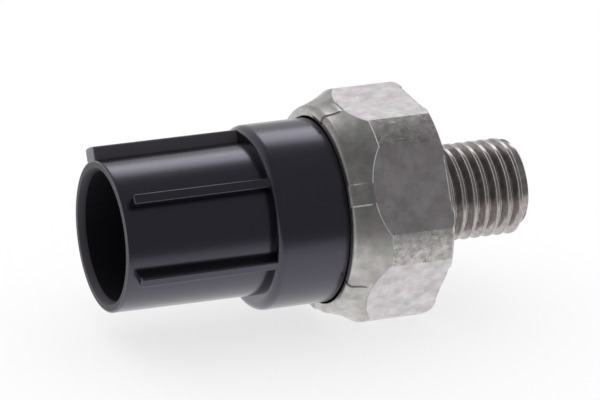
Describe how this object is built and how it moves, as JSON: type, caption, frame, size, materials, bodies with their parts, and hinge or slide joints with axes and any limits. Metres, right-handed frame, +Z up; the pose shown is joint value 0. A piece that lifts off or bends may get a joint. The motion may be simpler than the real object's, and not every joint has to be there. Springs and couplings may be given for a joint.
{
  "type": "oil pressure sender",
  "caption": "Screw-in oil pressure sender: threaded stud, steel hexagon crimped over a black round connector with a keyed shroud.",
  "frame": {"origin": "centre of the raised seating face, on the thread's axis", "axes": "+X along the thread towards the stud's tip, +Z up with the sender lying on a flat of its hexagon"},
  "size_m": [0.0445, 0.0236, 0.022],
  "materials": {
    "plated_steel": "grey zinc plating over turned steel, dull and slightly pitted on the crimp",
    "black_moulding": "black glass-filled moulding, satin",
    "terminal_brass": "tin-flashed brass strip, satin",
    "epoxy_sealant": "dark potting resin, glossy",
    "seal_rubber": "black rubber, matt",
    "base_phenolic": "brown phenolic moulding, matt",
    "contact_silver": "silver alloy rivet, satin",
    "bridge_copper": "bare copper alloy strip, satin",
    "plunger_ceramic": "cream insulating pin, matt",
    "inner_steel": "plain stamped steel, satin",
    "spring_steel": "drawn spring wire, satin",
    "diaphragm_film": "amber film, glossy"
  },
  "bodies": {
    "sender_body": {"hex_body": "plated_steel", "connector_housing": "black_moulding", "signal_terminal": "terminal_brass", "ground_terminal": "terminal_brass", "terminal_sealant": "epoxy_sealant", "housing_seal": "seal_rubber", "contact_base": "base_phenolic", "signal_contact": "contact_silver", "ground_contact": "contact_silver", "return_spring": "spring_steel", "clamp_ring": "inner_steel", "diaphragm": "diaphragm_film", "diaphragm_gasket": "seal_rubber"},
    "plunger_group": {"plunger": "plunger_ceramic", "pressure_plate": "inner_steel", "contact_bridge": "bridge_copper", "bridge_contact_signal": "contact_silver", "bridge_contact_ground": "contact_silver"}
  },
  "joints": [
    {"name": "plunger_travel", "type": "slide", "parent": "sender_body", "child": "plunger_group", "axis": [-1, 0, 0], "range_m": [0, 0.0005], "stiffness_N_per_m": 800, "deforming": ["return_spring"]}
  ]
}
